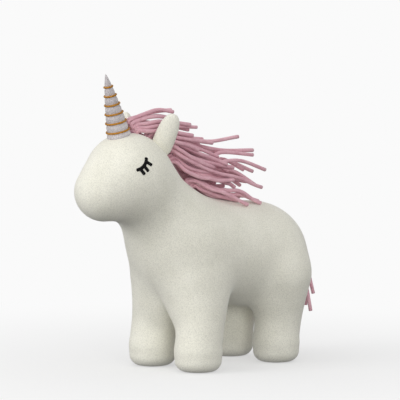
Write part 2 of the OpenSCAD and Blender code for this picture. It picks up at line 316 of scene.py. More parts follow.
def tube(path, radius, sides=10, squash=1.0, up=None, ridge=None):
    """Vertices and faces of a closed tube with blunt, slightly rounded ends."""
    path = np.asarray(path, float)
    radius = np.broadcast_to(radius, len(path)).astype(float)
    tangent = np.gradient(path, axis=0)
    tangent /= np.linalg.norm(tangent, axis=1, keepdims=True)
    ends = []
    edge = radius[0] * 0.22
    for end, sign in ((0, -1), (-1, 1)):
        ends.append((path[end] + sign * edge * tangent[end], tangent[end], radius[end] * 0.72))
    path = np.concatenate([[ends[0][0]], path, [ends[1][0]]])
    tangent = np.concatenate([[ends[0][1]], tangent, [ends[1][1]]])
    radius = np.concatenate([[ends[0][2]], radius, [ends[1][2]]])
    side = np.cross(tangent[0], [0.13, 0.37, 0.92] if up is None else up[0])
    side /= np.linalg.norm(side)
    rings = []
    for i in range(len(path)):
        if up is None:
            side = side - (side @ tangent[i]) * tangent[i]
            side /= np.linalg.norm(side)
            other = np.cross(tangent[i], side)
        else:
            other = up[min(max(i - 1, 0), len(up) - 1)]
            side = np.cross(other, tangent[i])
            side /= np.linalg.norm(side)
            other = np.cross(tangent[i], side)
        a = turn_angles(sides)
        r = radius[i] * (1.0 if ridge is None else ridge(i, a))
        rings.append(path[i] + np.outer(r * np.cos(a), side) + np.outer(r * squash * np.sin(a), other))
    verts = np.concatenate(rings + [[path[0]], [path[-1]]])
    return verts, capped_faces(len(path), sides)


def joined(parts):
    verts, faces, start = [], [], 0
    for v, f in parts:
        verts.append(v)
        faces += [tuple(int(i) + start for i in face) for face in f]
        start += len(v)
    return np.concatenate(verts), faces


def spline(points, count):
    """A smooth line through points, evenly spaced."""
    p = np.asarray(points, float)
    p = np.concatenate([[2 * p[0] - p[1]], p, [2 * p[-1] - p[-2]]])
    fine = []
    for i in range(1, len(p) - 2):
        for t in np.linspace(0, 1, 20, endpoint=False):
            a, b, c, d = p[i - 1], p[i], p[i + 1], p[i + 2]
            square, cube = 2 * a - 5 * b + 4 * c - d, 3 * b - a - 3 * c + d
            fine.append(0.5 * (2 * b + (c - a) * t + square * t**2 + cube * t**3))
    fine = np.array(fine + [p[-2]])
    run = np.concatenate([[0], np.cumsum(np.linalg.norm(np.diff(fine, axis=0), axis=1))])
    at = np.linspace(0, run[-1], count)
    return np.stack([np.interp(at, run, fine[:, i]) for i in range(3)], -1)


# ---------- materials ----------
def new_material(name):
    material = bpy.data.materials.new(name)
    material.use_nodes = True
    tree = material.node_tree
    tree.nodes.clear()
    out = tree.nodes.new("ShaderNodeOutputMaterial")
    shader = tree.nodes.new("ShaderNodeBsdfPrincipled")
    tree.links.new(shader.outputs[0], out.inputs["Surface"])
    place = tree.nodes.new("ShaderNodeAttribute")
    place.attribute_name = "rest"
    return material, tree, shader, place.outputs["Vector"]


def noise(tree, place, size_mm, detail=3.0, roughness=0.6):
    node = tree.nodes.new("ShaderNodeTexNoise")
    node.inputs["Scale"].default_value = 1 / size_mm
    node.inputs["Detail"].default_value = detail
    node.inputs["Roughness"].default_value = roughness
    tree.links.new(place, node.inputs["Vector"])
    return node.outputs["Fac"]


def ramp(tree, value, stops):
    node = tree.nodes.new("ShaderNodeValToRGB")
    tree.links.new(value, node.inputs["Fac"])
    while len(node.color_ramp.elements) < len(stops):
        node.color_ramp.elements.new(0.5)
    for element, (at, colour) in zip(node.color_ramp.elements, stops):
        element.position, element.color = at, (*colour, 1)
    return node.outputs["Color"]


def multiply(tree, a, b, share=1.0):
    node = tree.nodes.new("ShaderNodeMix")
    node.data_type, node.blend_type = "RGBA", "MULTIPLY"
    node.inputs["Factor"].default_value = share
    tree.links.new(a, node.inputs["A"])
    tree.links.new(b, node.inputs["B"])
    return node.outputs["Result"]


def bump(tree, shader, height, strength, distance_mm, under=None):
    node = tree.nodes.new("ShaderNodeBump")
    node.inputs["Strength"].default_value = strength
    node.inputs["Distance"].default_value = distance_mm * MM
    tree.links.new(height, node.inputs["Height"])
    if under is not None:
        tree.links.new(under, node.inputs["Normal"])
    tree.links.new(node.outputs["Normal"], shader.inputs["Normal"])
    return node.outputs["Normal"]


def felt(name, dark, light, sheen=0.35, grain=0.12, grain_mm=1.1, cloud_mm=26):
    """Short-pile felt: speckled fibre colour, slow clouding, a fine nap and a soft sheen."""
    material, tree, shader, place = new_material(name)
    cloud = ramp(tree, noise(tree, place, cloud_mm, 2), [(0.3, dark), (0.7, light)])
    fibre = noise(tree, place, grain_mm, 4, 0.75)
    speck = ramp(tree, fibre, [(0.36, (1 - 2 * grain,) * 3), (0.56, (1, 1, 1))])
    tree.links.new(multiply(tree, cloud, speck), shader.inputs["Base Color"])
    shader.inputs["Roughness"].default_value = 0.92
    shader.inputs["Specular IOR Level"].default_value = 0.18
    shader.inputs["Sheen Weight"].default_value = sheen
    shader.inputs["Sheen Roughness"].default_value = 0.5
    shader.inputs["Sheen Tint"].default_value = (1, 1, 1, 1)
    under = bump(tree, shader, noise(tree, place, 7, 2), 0.25, 0.5)
    bump(tree, shader, noise(tree, place, 0.8, 5, 0.7), 0.5, 0.25, under)
    return material


def linear(r, g, b):
    """A display colour, 0 to 255, as a linear one."""
    return tuple(((c / 255 + 0.055) / 1.055) ** 2.4 if c > 10 else c / 255 / 12.92 for c in (r, g, b))


CREAM = linear(237, 235, 221), linear(244, 242, 229)
PALE_GREY = linear(204, 198, 200), linear(222, 216, 217)
MAUVE = linear(221, 168, 181), linear(236, 191, 201)
DEEP_MAUVE = linear(150, 98, 120), linear(170, 118, 140)
body_felt = felt("cream_felt", *CREAM, grain=0.1, grain_mm=1.3)
horn_felt = felt("pale_grey_felt", *PALE_GREY, grain=0.22, grain_mm=1.2)
yarn = felt("mauve_yarn", *MAUVE, sheen=0.2, grain=0.07, grain_mm=0.9, cloud_mm=14)
binding = felt("mauve_tape", *DEEP_MAUVE, grain_mm=0.7)


def cord_material():
    material, tree, shader, place = new_material("gold_cord")
    colour = ramp(tree, noise(tree, place, 0.6, 3), [(0.3, linear(160, 102, 22)), (0.7, linear(206, 146, 42))])
    tree.links.new(colour, shader.inputs["Base Color"])
    shader.inputs["Metallic"].default_value = 0.35
    shader.inputs["Roughness"].default_value = 0.42
    bump(tree, shader, noise(tree, place, 0.35, 3), 0.3, 0.1)
    return material


def thread_material():
    material, tree, shader, place = new_material("black_thread")
    colour = ramp(tree, noise(tree, place, 0.5, 3), [(0.3, linear(12, 11, 12)), (0.7, linear(27, 26, 28))])
    tree.links.new(colour, shader.inputs["Base Color"])
    shader.inputs["Roughness"].default_value = 0.8
    shader.inputs["Specular IOR Level"].default_value = 0.15
    bump(tree, shader, noise(tree, place, 0.3, 3), 0.4, 0.1)
    return material


gold = cord_material()
thread = thread_material()

# ---------- the felt skin ----------
STEP = 2.6
GRID_HALF = (math.ceil(84 / STEP) + 0.5) * STEP
GRID_LOW, GRID_HIGH = [-GRID_HALF, -190, -4.2], [GRID_HALF, 172, 292]
FELT = 2.0
GUSSET_HALF, GUSSET_TOP, GUSSET_REACH = 20, 92, 86
net_verts, net_faces = surface_net(skin, GRID_LOW, GRID_HIGH, STEP)
net_verts = relax(net_verts, net_faces, skin)
out = normals(net_verts)
middle = net_verts[net_faces].mean(1)
above_neck = (middle - NECK) @ NECK_UP
is_head = above_neck > -NECK_BLEND
is_leg = middle[:, 2] < LEG_SPLIT
left = middle[:, 0] > 0
between_legs = (FRONT_LEG[1] + REAR_LEG[1]) / 2
front = middle[:, 1] < between_legs
is_gusset = ~is_leg & ~is_head & (np.abs(middle[:, 0]) < GUSSET_HALF) & (middle[:, 2] < GUSSET_TOP)
is_gusset &= np.abs(middle[:, 1] - between_legs) < GUSSET_REACH


def skin_piece(name, mask, *nodes):
    piece = felt_piece(name, net_verts, out, net_faces[mask], FELT, body_felt)
    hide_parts(*nodes)
    return piece


for side, sign in SIDES:
    half = left if sign > 0 else ~left
    is_torso = half & ~is_head & ~is_leg & ~is_gusset
    torso = skin_piece(f"{side}_body_felt", is_torso, f"{side}_body_panel")
    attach(torso, "body")
    head = skin_piece(f"{side}_head_felt", half & is_head, f"{side}_head_panel")
    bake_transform(head)
    for end, at, where in (("front", FRONT_LEG, front), ("rear", REAR_LEG, ~front)):
        leg = f"{end}_{side}_leg"
        is_foot = half & is_leg & where
        foot = skin_piece(f"{leg}_felt", is_foot, f"{leg}_cover", f"{leg}_stuffing")
        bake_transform(foot)

gusset = skin_piece("belly_gusset_felt", is_gusset, "belly_gusset", "body_stuffing", "neck_stuffing")
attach(gusset, "body")
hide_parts("head_stuffing")


# ---------- soles ----------
SOLE_EDGE = ((15.2, 0), (16.3, 0.3), (16.9, 1.0), (16.4, 1.9), (15, 2.2))
SOLE_TURNS = 40


def sole(name, node, body):
    x, y, _ = middle_mm(node)
    angles = turn_angles(SOLE_TURNS)
    verts = [(x + r * math.cos(a), y + r * math.sin(a), z) for r, z in SOLE_EDGE for a in angles]
    verts += [(x, y, SOLE_EDGE[0][1]), (x, y, SOLE_EDGE[-1][1])]
    piece = add_mesh(name, verts, capped_faces(len(SOLE_EDGE), SOLE_TURNS), body_felt)
    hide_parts(node)
    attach(piece, body)


for side, _ in SIDES:
    for end in ("front", "rear"):
        sole(f"{end}_{side}_sole_felt", f"{end}_{side}_sole", f"{end}_{side}_leg")

# ---------- ears ----------
EAR_UP = np.array([0.444, 0.087, 0.892])
EAR_UP /= np.linalg.norm(EAR_UP)
EAR_ALONG = np.array([0.380, 0.580, -0.720])
EAR_ALONG -= (EAR_ALONG @ EAR_UP) * EAR_UP
EAR_ALONG /= np.linalg.norm(EAR_ALONG)
EAR_FACE = np.cross(EAR_UP, EAR_ALONG)
# Height above the seam, half width and half depth
EAR_PROFILE = (
    (-7, 8.0, 4.4), (-3, 10.8, 5.6), (2, 12.6, 6.3), (10, 12.9, 6.9), (21, 12.7, 6.9),
    (31, 11.6, 6.4), (37.5, 9.7, 5.7), (41.8, 7.2, 4.6), (44.6, 4.1, 2.8),
)
EAR_ROOT, EAR_TIP, EAR_TURNS = -8, 45.6, 48
EAR_SEAM_DEPTH, EAR_SEAM_SPREAD = 0.07, 0.0006


def ear(side, sign):
    heights, halves, depths = map(np.array, zip(*EAR_PROFILE))
    levels = np.concatenate([np.linspace(-7, 37.5, 30), np.linspace(38.5, 44.6, 8)])
    a = turn_angles(EAR_TURNS)
    seam = 1 - EAR_SEAM_DEPTH * np.exp(-((np.abs(np.cos(a)) - 1) ** 2) / EAR_SEAM_SPREAD)
    verts = []
    for h in levels:
        w, d = np.interp(h, heights, halves), np.interp(h, heights, depths)
        across = np.sign(np.cos(a)) * np.abs(np.cos(a)) ** 0.92 * w * seam
        deep = np.sin(a) * d
        verts.append(EAR_BASE + h * EAR_UP + np.outer(across, EAR_ALONG) + np.outer(deep, EAR_FACE))
    verts = np.concatenate(verts + [[EAR_BASE + EAR_ROOT * EAR_UP], [EAR_BASE + EAR_TIP * EAR_UP]])
    faces = capped_faces(len(levels), EAR_TURNS)
    mirror = np.array([sign, 1, 1])
    verts = verts * mirror
    if sign < 0:
        faces = turned_out(faces)
    piece = add_mesh(f"{side}_ear_felt", verts, faces, body_felt)
    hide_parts(f"{side}_ear_cover", f"{side}_ear_stuffing")
    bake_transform(piece)


for side, sign in SIDES:
    ear(side, sign)

# ---------- horn ----------
HORN_LEAN = math.radians(16)
HORN_UP = np.array([0, -math.sin(HORN_LEAN), math.cos(HORN_LEAN)])
HORN_SIDE = np.array([1.0, 0, 0])
HORN_BACK = np.cross(HORN_UP, HORN_SIDE)
HORN_LEN, HORN_R, HORN_POWER = 74.0, 13.6, 0.72
HORN_TURNS = 56
RING_FIRST, RING_PITCH, RINGS, CORD_R = 6.3, 10.5, 6, 1.1
RING_OUT = 0.45
SWELL, GROOVE, GROOVE_HALF = 0.45, 0.5, 0.9


def horn_radius(h):
    return HORN_R * (1 - h / HORN_LEN) ** HORN_POWER


def on_horn(radial, angle, height):
    around = np.outer(radial * np.cos(angle), HORN_SIDE) + np.outer(radial * np.sin(angle), HORN_BACK)
    return HORN_BASE + around + height * HORN_UP


def horn():
    """A stuffed cone that swells between the turns of cord, with a round root inside the head."""
    a = turn_angles(HORN_TURNS)
    levels = list(-HORN_R * np.cos(np.linspace(0.15, 1, 8) * math.pi / 2))
    levels += list(np.linspace(0.4, HORN_LEN - 1.2, 110)) + [HORN_LEN - 0.6, HORN_LEN - 0.2]
    verts = []
    for h in levels:
        if h < 0:
            r = math.sqrt(max(HORN_R**2 - h * h, 0.01))
        else:
            r = horn_radius(h)
            phase = (h - RING_FIRST) / RING_PITCH
            if -0.6 < phase < RINGS - 0.5:
                nearest = phase - round(phase)
                r -= SWELL * math.cos(2 * math.pi * nearest) * min(1, r / 8)
                r -= GROOVE * math.exp(-((nearest * RING_PITCH / GROOVE_HALF) ** 2))
        verts.append(on_horn(max(r, 0.12), a, h))
    verts = np.concatenate(verts + [[HORN_BASE - HORN_R * HORN_UP], [HORN_BASE + HORN_LEN * HORN_UP]])
    piece = add_mesh("horn_felt", verts, capped_faces(len(levels), HORN_TURNS), horn_felt)
    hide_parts("horn_cover", "horn_stuffing")
    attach(piece, "horn")


def horn_cord(i):
    """One closed turn of twisted cord."""
    h = RING_FIRST + (i - 1) * RING_PITCH
    ring_r = horn_radius(h) + RING_OUT
    steps, sides = 160, 12
    twists = max(6, round(2 * math.pi * ring_r / 3.2))
    a = turn_angles(sides)
    verts, faces = [], []
    for s, turn in enumerate(turn_angles(steps)):
        r = CORD_R * (0.82 + 0.24 * np.abs(np.cos(a - twists * turn / 2)))
        flat = on_horn(ring_r + r * np.cos(a), np.full(sides, turn), 0)
        verts.append(flat + np.outer(h + r * np.sin(a), HORN_UP))
        here, there = s * sides, (s + 1) % steps * sides
        for k in range(sides):
            after = (k + 1) % sides
            faces.append((here + k, there + k, there + after, here + after))
    piece = add_mesh(f"horn_cord_{i}", np.concatenate(verts), faces, gold)
    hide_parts(f"horn_ring_{i}")
    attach(piece, "horn")


horn()
for i in range(1, RINGS + 1):
    horn_cord(i)

# ---------- eyes ----------
EYE_SIDE, EYE_UP, EYE_SLOPE = math.radians(70), math.radians(17), math.radians(47)
LID_R, STITCH_R = 16.6, 1.95
STITCH_STEP, STITCH_PITCH = 0.14, 0.42
LID_ARC = (-130, -50)
LASHES = ((-22, 10), (-1, -8), (20, -7))  # place on the lid and lean, in degrees
LASH_REACH = (0.4, 4.6, 8.8)


def eye(side, sign):
    """A closed lid that bows down with three lashes, in raised satin stitch."""
    level = math.cos(EYE_UP)
    look = np.array([level * math.sin(EYE_SIDE), -level * math.cos(EYE_SIDE), math.sin(EYE_UP)])
    along = np.cross([0, 0, 1], look)
    along /= np.linalg.norm(along)
    rise = np.cross(look, along)
    origin = SKULL + (SKULL_R + 2) * look

    def place(x, y):
        u = x * math.cos(EYE_SLOPE) - y * math.sin(EYE_SLOPE)
        v = x * math.sin(EYE_SLOPE) + y * math.cos(EYE_SLOPE)
        return origin + u * along + v * rise

    def on_lid(a):
        return LID_R * math.cos(a), LID_R + LID_R * math.sin(a)

    def ridge(i, a):
        return 1 + 0.07 * math.sin(i * STITCH_STEP / STITCH_PITCH * 2 * math.pi) * np.ones_like(a)

    lines = [[place(*on_lid(a)) for a in np.radians(np.linspace(*LID_ARC, 7))]]
    for start, turn in LASHES:
        x, y = on_lid(math.radians(start - 90))
        b = math.radians(start + turn - 90)
        lines.append([place(x + r * math.cos(b), y + r * math.sin(b)) for r in LASH_REACH])
    parts = []
    for line in lines:
        rough = spline(line, 12)
        length = np.linalg.norm(np.diff(rough, axis=0), axis=1).sum()
        path = settle(spline(line, max(12, int(length / STITCH_STEP))), 0.15)
        t = np.linspace(-1, 1, len(path))
        radius = STITCH_R * np.sqrt(np.maximum(1 - np.abs(t) ** (len(path) / 5), 0.08))
        parts.append(tube(path, radius, 14, squash=0.5, up=normals(path), ridge=ridge))
    verts, faces = joined(parts)
    if sign < 0:
        verts, faces = verts * [-1, 1, 1], turned_out(faces)
    piece = add_mesh(f"{side}_eye_stitching", verts, faces, thread)
    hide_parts(f"{side}_eye")
    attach(piece, "head")


for side, sign in SIDES:
    eye(side, sign)

# ---------- yarn ----------
YARN_R = 2.25
YARN_POINTS = 30


def spread(low, high):
    return low + (high - low) * rng.random()


def strand(root, *stops):
    """One length of yarn from its root in the skin through its stops."""
    root = settle(np.array([root], float), -1.0)[0]
    up = normals(root[None])[0]
    first = np.array(stops[0], float)
    lift = root + 0.3 * (first - root) + 0.3 * np.linalg.norm(first - root) * up
    return spline([root, lift, *stops], YARN_POINTS)


def crest(share, side=0.0):
    """A place on the tape along the head's crest, then down the back of the neck."""
    return np.array([side, -98 + 50 * share, 284 - 40 * share**1.3])


def other_side(stops, drop):
    """The same stops on the far side, a little lower and each moved at random."""
    return [(-x + spread(-5, 5), y + spread(-9, 9), z + spread(-4, 4) - drop) for x, y, z in stops]


# Stops of each strand in mm, from its first bend to its blunt end. Many were converted by a
# scratch script from places picked by eye, as report.md says.
FORELOCK_STRANDS = (
    ((2, -108, 292), (2, -82, 301), (0, -59, 305), (2, -37, 302)),
    ((-4, -102, 294), (-5, -72, 299), (-4, -53, 303), (-4, -35, 304)),
    ((4, -106, 290), (4, -82, 296), (2, -58, 297), (0, -34, 293)),
    ((-2, -104, 290), (-3, -80, 297), (-6, -55, 298), (-9, -20, 292)),
    ((6, -102, 287), (6, -88, 289), (5, -60, 291), (6, -14, 286)),
    ((8, -101, 285), (8, -84, 285), (6, -54, 287), (2, 1, 283)),
    ((10, -99, 283), (12, -84, 281), (12, -60, 281), (13, -16, 274)),
    ((-6, -100, 288), (-9, -76, 291), (-13, -50, 288), (-17, -22, 280)),
    ((-9, -98, 284), (-13, -74, 284), (-17, -48, 279), (-19, -8, 270)),
    ((0, -100, 287), (-2, -70, 290), (-5, -40, 287), (-8, -4, 280)),
    ((-10, -98, 282), (-16, -80, 278), (-21, -58, 272), (-24, -30, 264)),
    ((3, -99, 286), (3, -76, 286), (1, -50, 287), (-3, -8, 280)),
)
# The first number is the strand's place on the tape, as a share of its length
NAPE_STRANDS = (
    (0.35, (14, -50, 274), (12, -11, 268), (10, 19, 264)),
    (0.30, (4, -41, 278), (4, 13, 266), (6, 66, 270)),
    (0.35, (-4, -41, 278), (-6, -8, 271), (-8, 20, 268)),
    (0.45, (0, -32, 270), (-3, 40, 255), (-6, 103, 252)),
    (0.55, (6, -30, 260), (5, 14, 246), (4, 41, 252), (3, 94, 247)),
    (0.50, (20, -50, 268), (21, -30, 263), (20, -14, 257)),
    (0.70, (12, -30, 248), (12, 8, 233), (14, 35, 241), (14, 65, 241), (12, 106, 229)),
    (0.60, (-4, -22, 257), (-6, 31, 243), (-5, 53, 243), (-4, 85, 229)),
    (0.75, (5, -24, 247), (6, 28, 233), (7, 58, 229), (8, 93, 211)),
    (0.70, (0, -24, 249), (0, 28, 235), (2, 63, 226), (2, 91, 214)),
    (0.60, (15, -38, 256), (16, -7, 245), (14, 50, 234)),
    (0.75, (20, -38, 250), (22, 0, 234), (23, 34, 223), (22, 62, 213), (20, 90, 200)),
    (0.80, (11, -32, 246), (12, 7, 229), (11, 48, 220), (10, 76, 216)),
    (0.95, (16, -26, 236), (17, 10, 222), (16, 40, 215)),
    (0.50, (16, -44, 266), (17, -18, 256), (16, 14, 246), (18, 34, 238)),
    (0.60, (20, -42, 258), (22, -20, 246), (21, 10, 236)),
    (0.40, (9, -44, 274), (8, -18, 264), (9, 16, 252), (8, 30, 247)),
    (0.55, (10, -34, 262), (9, -8, 252), (8, 22, 241), (11, 44, 230)),
    (0.90, (10, -26, 240), (12, 0, 226), (11, 26, 216), (13, 54, 205)),
    (0.65, (-10, -30, 256), (-12, 4, 246), (-11, 40, 236), (-14, 78, 222)),
    (0.45, (-12, -38, 270), (-14, -2, 260), (-16, 44, 252), (-14, 74, 250)),
    (1.00, (20, -34, 234), (23, -12, 224), (24, 10, 217), (23, 40, 209)),
    (0.95, (14, -32, 237), (16, -10, 226), (17, 14, 220), (16, 46, 213)),
    (1.00, (8, -30, 237), (9, -8, 226), (10, 14, 220), (12, 42, 216)),
    (1.00, (0, -30, 238), (1, -8, 227), (1, 12, 221), (0, 40, 217)),
    (0.95, (-9, -31, 238), (-10, -8, 227), (-11, 16, 221), (-10, 44, 215)),
    (1.00, (-19, -34, 235), (-21, -10, 225), (-22, 12, 217), (-21, 40, 209)),
)
NAPE_REPEATED = (0, 5, 6, 8, 10, 11, 12, 13, 14, 15, 17, 18)
WITHERS_STRANDS = (
    (0.25, (10, -3, 219), (18, 19, 214), (21, 52, 210), (24, 82, 188)),
    (0.05, (15, -9, 222), (23, 5, 213), (27, 20, 208), (29, 38, 199), (31, 56, 189)),
    (0.45, (8, -2, 219), (15, 28, 210), (19, 58, 204), (19, 86, 194)),
    (0.10, (6, -7, 219), (8, 7, 207), (9, 23, 200), (8, 49, 197)),
    (0.50, (2, -4, 219), (2, 15, 207), (2, 40, 201), (0, 83, 198)),
    (0.00, (10, -10, 222), (10, 2, 214), (10, 17, 209), (8, 38, 209)),
    (0.20, (-2, -7, 220), (-4, 10, 211), (-3, 30, 208), (-6, 62, 206)),
    (0.60, (9, -2, 216), (14, 14, 205), (16, 34, 199), (20, 52, 195)),
    (0.80, (4, 4, 213), (7, 20, 204), (5, 38, 201), (8, 60, 197)),
    (0.35, (-8, -3, 218), (-13, 12, 208), (-17, 28, 201), (-20, 56, 195)),
    (0.70, (-5, 2, 215), (-9, 20, 205), (-10, 44, 200), (-14, 74, 197)),
    (0.15, (-12, -8, 219), (-18, 5, 210), (-22, 20, 203), (-27, 44, 192)),
    (0.90, (0, 8, 212), (0, 24, 204), (-3, 48, 201), (-4, 78, 197)),
)


def forelock():
    lines = []
    for stops in FORELOCK_STRANDS:
        side = stops[0][0]
        lines.append(strand([0.7 * side, -100 + 0.25 * abs(side), 284], *stops))
    return lines


def nape():
    rows = [(share, stops) for share, *stops in NAPE_STRANDS]
    rows += [(rows[i][0] + 0.03, other_side(rows[i][1], 3)) for i in NAPE_REPEATED]
    return [strand(crest(share, 0.25 * stops[0][0]), *stops) for share, stops in rows]


def withers():
    lines = []
    for share, *stops in WITHERS_STRANDS:
        root = [0.4 * stops[0][0], -18 + 18 * share, 224 - 11 * share]
        lines.append(strand(root, *stops))
    return lines


TAIL_ENDS = (
    (20, 183, 74), (14, 176, 60), (26, 172, 54), (5, 181, 66), (-8, 184, 70), (-18, 176, 58),
    (-25, 168, 64), (0, 172, 50), (10, 168, 47), (-12, 170, 52), (18, 165, 62), (-2, 186, 84),
)


def tail():
    lines = []
    for i, end in enumerate(TAIL_ENDS):
        turn = i * 2 * math.pi / len(TAIL_ENDS)
        root = TAIL_KNOT + np.array([4 * math.cos(turn), 2.5 + 2.5 * math.sin(turn), -4])
        span = np.array(end, float) - root
        one = root + 0.3 * span + [0.1 * span[0], 3 + 0.1 * span[1], 2]
        two = root + 0.68 * span + [0, 2 + 0.06 * span[1], 1]
        lines.append(spline([root, one, two, end], YARN_POINTS))
    return lines


EAR_MIDDLE, EAR_HALF_SPAN, EAR_HALF_WIDTH, EAR_HALF_DEPTH = 19, 27, 14, 7.2


def ear_distance(p):
    """Rough distance to either ear, taken as an ellipsoid."""
    q = np.stack([np.abs(p[..., 0]), p[..., 1], p[..., 2]], -1) - EAR_BASE
    up, along, face = q @ EAR_UP, q @ EAR_ALONG, q @ EAR_FACE
    reach = [(up - EAR_MIDDLE) / EAR_HALF_SPAN, along / EAR_HALF_WIDTH, face / EAR_HALF_DEPTH]
    return (np.linalg.norm(np.stack(reach, -1), axis=-1) - 1) * EAR_HALF_DEPTH


def horn_distance(p):
    q = p - HORN_BASE
    h = q @ HORN_UP
    out_by = np.linalg.norm(q - h[..., None] * HORN_UP, axis=-1)
    return out_by - HORN_R * np.clip(1 - h / HORN_LEN, 0, 1) ** HORN_POWER


NOD_ROOM = 0.075  # gap kept under the head's strands, for each mm behind the neck's joint
NECK_END = -40  # behind this Y the skin belongs to the body
APART = 2.06 * YARN_R
FIXED_POINTS = 3
BLOCK = 400


def part_strands(lines, turns, on_head=0):
    """Pushes strands off each other and off the toy, and keeps their lengths.

    The first on_head strands move with the head, so they also stay above the back and above
    the strands on it by as much as a nod brings them down.
    """
    p = np.array(lines)
    rest = np.linalg.norm(np.diff(p, axis=1), axis=2)
    owner = np.repeat(np.arange(len(p)), p.shape[1])
    free = np.clip((np.arange(p.shape[1]) - FIXED_POINTS + 1) / 4, 0, 1)[None, :, None]
    bend = p[:, 2:] - 2 * p[:, 1:-1] + p[:, :-2]
    for _ in range(turns):
        flat = p.reshape(-1, 3)
        move = np.zeros_like(flat)
        for start in range(0, len(flat), BLOCK):
            block = slice(start, start + BLOCK)
            gap = flat[block, None] - flat[None]
            d = np.linalg.norm(gap, axis=2)
            near = (d < APART) & (owner[block, None] != owner[None])
            push = np.where(near, (APART - d) / np.maximum(d, 0.05), 0)
            crowd = np.maximum(near.sum(1), 1)[:, None] ** 0.5
            move[block] = 0.3 * (gap * push[..., None]).sum(1) / crowd
        p = p + np.clip(move, -1.2, 1.2).reshape(p.shape) * free
        room = NOD_ROOM * np.maximum(p[:on_head, :, 1] - NECK[1], 0)
        if on_head:
            above, below = p[:on_head].reshape(-1, 3), p[on_head:].reshape(-1, 3)
            beside = np.linalg.norm(above[:, None, :2] - below[None, :, :2], axis=2) < 2.2 * YARN_R
            wanted = APART + room.reshape(-1, 1) - (above[:, None, 2] - below[None, :, 2])
            wanted = np.clip(np.where(beside, wanted, 0), 0, 2)
            up, down = wanted.max(1).reshape(on_head, -1), wanted.max(0).reshape(-1, p.shape[1])
            p[:on_head, :, 2] += 0.5 * up * free[..., 0]
            p[on_head:, :, 2] -= 0.3 * down * free[..., 0]
        lift = np.full(p.shape[:2], YARN_R + 0.2)
        lift[:on_head] += np.where(p[:on_head, :, 1] > NECK_END, room, 0)
        clear = ((skin, lift), (ear_distance, YARN_R + 0.4), (horn_distance, YARN_R + 2.6))
        for field, height in clear:
            short = np.maximum(height - field(p), 0)
            if np.any(short > 0):
                p = p + (np.minimum(short, 2.0)[..., None] * normals(p, field)) * free
        sag = (p[:, 2:] - 2 * p[:, 1:-1] + p[:, :-2]) - bend
        p[:, 1:-1] += 0.12 * sag * free[:, 1:-1]
        for _ in range(3):
            step = np.diff(p, axis=1)
            size = np.linalg.norm(step, axis=2)
            fix = ((size - rest) / size)[..., None] * step * 0.5
            p[:, 1:] -= fix * free[:, 1:]
            p[:, :-1] += fix * free[:, :-1]
    return p


def yarn_piece(name, lines, node):
    """A bundle of strands, each a little thicker or thinner along its length."""
    parts = []
    for line in lines:
        wobble = 1 + 0.03 * np.sin(np.linspace(0, spread(6, 16), len(line)) + spread(0, 6))
        parts.append(tube(line, YARN_R * spread(0.94, 1.06) * wobble, 10))
    verts, faces = joined(parts)
    piece = add_mesh(name, verts, faces, yarn)
    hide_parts(node)
    return piece


turns = 40
groups = {"forelock": forelock(), "nape": nape(), "withers": withers()}
heads = len(groups["forelock"]) + len(groups["nape"])
mane = part_strands(sum(groups.values(), []), turns, heads)
cut = len(groups["forelock"])
forelock_yarn = yarn_piece("forelock_yarn", mane[:cut], "forelock")
nape_yarn = yarn_piece("nape_yarn", mane[cut:heads], "nape_locks")
withers_yarn = yarn_piece("withers_yarn", mane[heads:], "withers_locks")
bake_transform(forelock_yarn)
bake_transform(nape_yarn)
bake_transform(withers_yarn)

tail_lines = part_strands(tail(), turns)
tail_yarn = yarn_piece("tail_yarn", tail_lines, "tail_strands")
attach(tail_yarn, "tail")


def knot():
    """The yarn wound round itself at the top of the tail."""
    parts = []
    for i, lean in enumerate((0.1, 0.9, 1.7, 2.5)):
        a = np.linspace(0, 2 * math.pi, 40, endpoint=False)
        axis = np.array([math.cos(lean), 0.5 * math.sin(lean * 2), math.sin(lean)])
        axis /= np.linalg.norm(axis)
        u = np.cross(axis, [0.2, 1, 0.1])
        u /= np.linalg.norm(u)
        v = np.cross(axis, u)
        path = TAIL_KNOT + (5.4 + 0.1 * i) * (np.outer(np.cos(a), u) + np.outer(np.sin(a), v))
        path = np.concatenate([path, path[:2]])
        parts.append(tube(path, 1.95, 10))
    verts, faces = joined(parts)
    piece = add_mesh("tail_knot_yarn", verts, faces, yarn)
    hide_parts("tail_knot")
    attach(piece, "tail_root")


knot()


# ---------- tapes and the tail's patch ----------
def strip(name, start, finish, half, node, body):
    """A sewn tape that follows the skin."""
    rows, across = 24, 7
    end, edge = rows - 1, across - 1
    line = np.linspace(0, 1, rows)[:, None] * (np.array(finish) - start) + np.array(start)
    verts = []
    for height in (0.0, 1.1):
        for x in np.linspace(-half, half, across):
            rounding = 0.35 if abs(x) > half * 0.9 and height else 0
            verts.append(settle(line * [0, 1, 1] + [x, 0, 0], height - rounding + 0.05))
    grid = np.array(verts).reshape(2, across, rows, 3)
    verts = grid.reshape(-1, 3)

    def at(layer, i, j):
        return (layer * across + i) * rows + j

    faces = []
    for i in range(across - 1):
        for j in range(rows - 1):
            faces.append((at(1, i, j), at(1, i + 1, j), at(1, i + 1, j + 1), at(1, i, j + 1)))
            faces.append((at(0, i, j + 1), at(0, i + 1, j + 1), at(0, i + 1, j), at(0, i, j)))
    for i in range(across - 1):
        faces.append((at(0, i, 0), at(0, i + 1, 0), at(1, i + 1, 0), at(1, i, 0)))
        faces.append((at(1, i, end), at(1, i + 1, end), at(0, i + 1, end), at(0, i, end)))
    for j in range(rows - 1):
        faces.append((at(1, 0, j), at(1, 0, j + 1), at(0, 0, j + 1), at(0, 0, j)))
        faces.append((at(0, edge, j), at(0, edge, j + 1), at(1, edge, j + 1), at(1, edge, j)))
    piece = add_mesh(name, verts, faces, binding)
    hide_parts(node)
    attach(piece, body)


